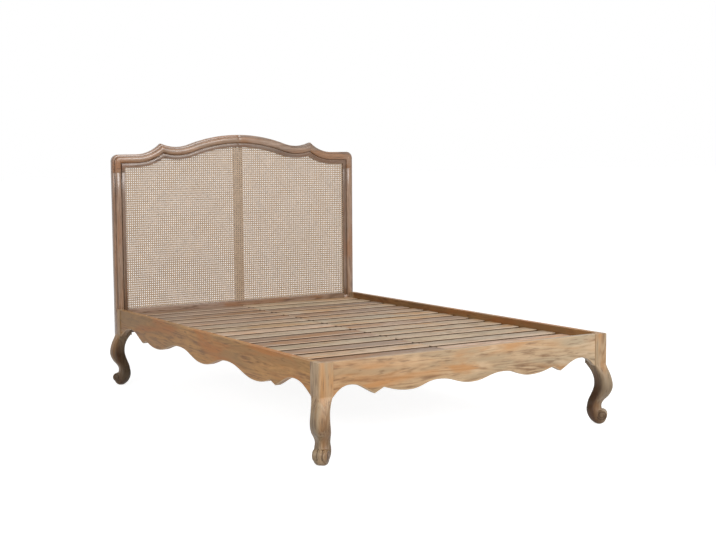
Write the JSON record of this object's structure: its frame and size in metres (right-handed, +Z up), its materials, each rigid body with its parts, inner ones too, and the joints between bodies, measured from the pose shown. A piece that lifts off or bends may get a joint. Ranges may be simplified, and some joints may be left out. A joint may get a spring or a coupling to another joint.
{
  "type": "cane bed",
  "caption": "French style wooden bed frame with a serpentine cane headboard, cabriole legs, scalloped rails and a slatted base.",
  "frame": {"origin": "on the floor under the middle of the bed's bounding box", "axes": "+Z up, +Y from the foot towards the headboard, +X to the right seen from the foot"},
  "size_m": [1.521, 2.136, 1.307],
  "materials": {
    "frame_wood": "satin oiled",
    "headboard_wood": "satin oiled",
    "slat_wood": "plain sanded",
    "base_wood": "plain sanded",
    "cane": "woven natural cane",
    "steel": "zinc plated"
  },
  "bodies": {
    "root": {"bracket_screws": "steel", "cane_bead_bottom": "headboard_wood", "cane_bead_left": "headboard_wood", "cane_bead_right": "headboard_wood", "cane_bead_top_left": "headboard_wood", "cane_bead_top_right": "headboard_wood", "cane_sheet": "cane", "centre_beam": "base_wood", "centre_mullion": "headboard_wood", "corner_brackets": "steel", "foot_beam_cleat": "base_wood", "foot_rail": "frame_wood", "front_left_leg": "frame_wood", "front_right_leg": "frame_wood", "head_beam_cleat": "base_wood", "head_left_leg": "frame_wood", "head_right_leg": "frame_wood", "headboard_bottom_rail": "headboard_wood", "left_side_rail": "frame_wood", "left_slat_ledge": "base_wood", "left_stile": "headboard_wood", "right_side_rail": "frame_wood", "right_slat_ledge": "base_wood", "right_stile": "headboard_wood", "slat_left_01": "slat_wood", "slat_left_02": "slat_wood", "slat_left_03": "slat_wood", "slat_left_04": "slat_wood", "slat_left_05": "slat_wood", "slat_left_06": "slat_wood", "slat_left_07": "slat_wood", "slat_left_08": "slat_wood", "slat_left_09": "slat_wood", "slat_left_10": "slat_wood", "slat_left_11": "slat_wood", "slat_left_12": "slat_wood", "slat_left_13": "slat_wood", "slat_left_14": "slat_wood", "slat_left_15": "slat_wood", "slat_left_16": "slat_wood", "slat_right_01": "slat_wood", "slat_right_02": "slat_wood", "slat_right_03": "slat_wood", "slat_right_04": "slat_wood", "slat_right_05": "slat_wood", "slat_right_06": "slat_wood", "slat_right_07": "slat_wood", "slat_right_08": "slat_wood", "slat_right_09": "slat_wood", "slat_right_10": "slat_wood", "slat_right_11": "slat_wood", "slat_right_12": "slat_wood", "slat_right_13": "slat_wood", "slat_right_14": "slat_wood", "slat_right_15": "slat_wood", "slat_right_16": "slat_wood", "stile_bolts": "steel", "top_rail_left": "headboard_wood", "top_rail_right": "headboard_wood", "wood_screws": "steel"}
  },
  "joints": []
}
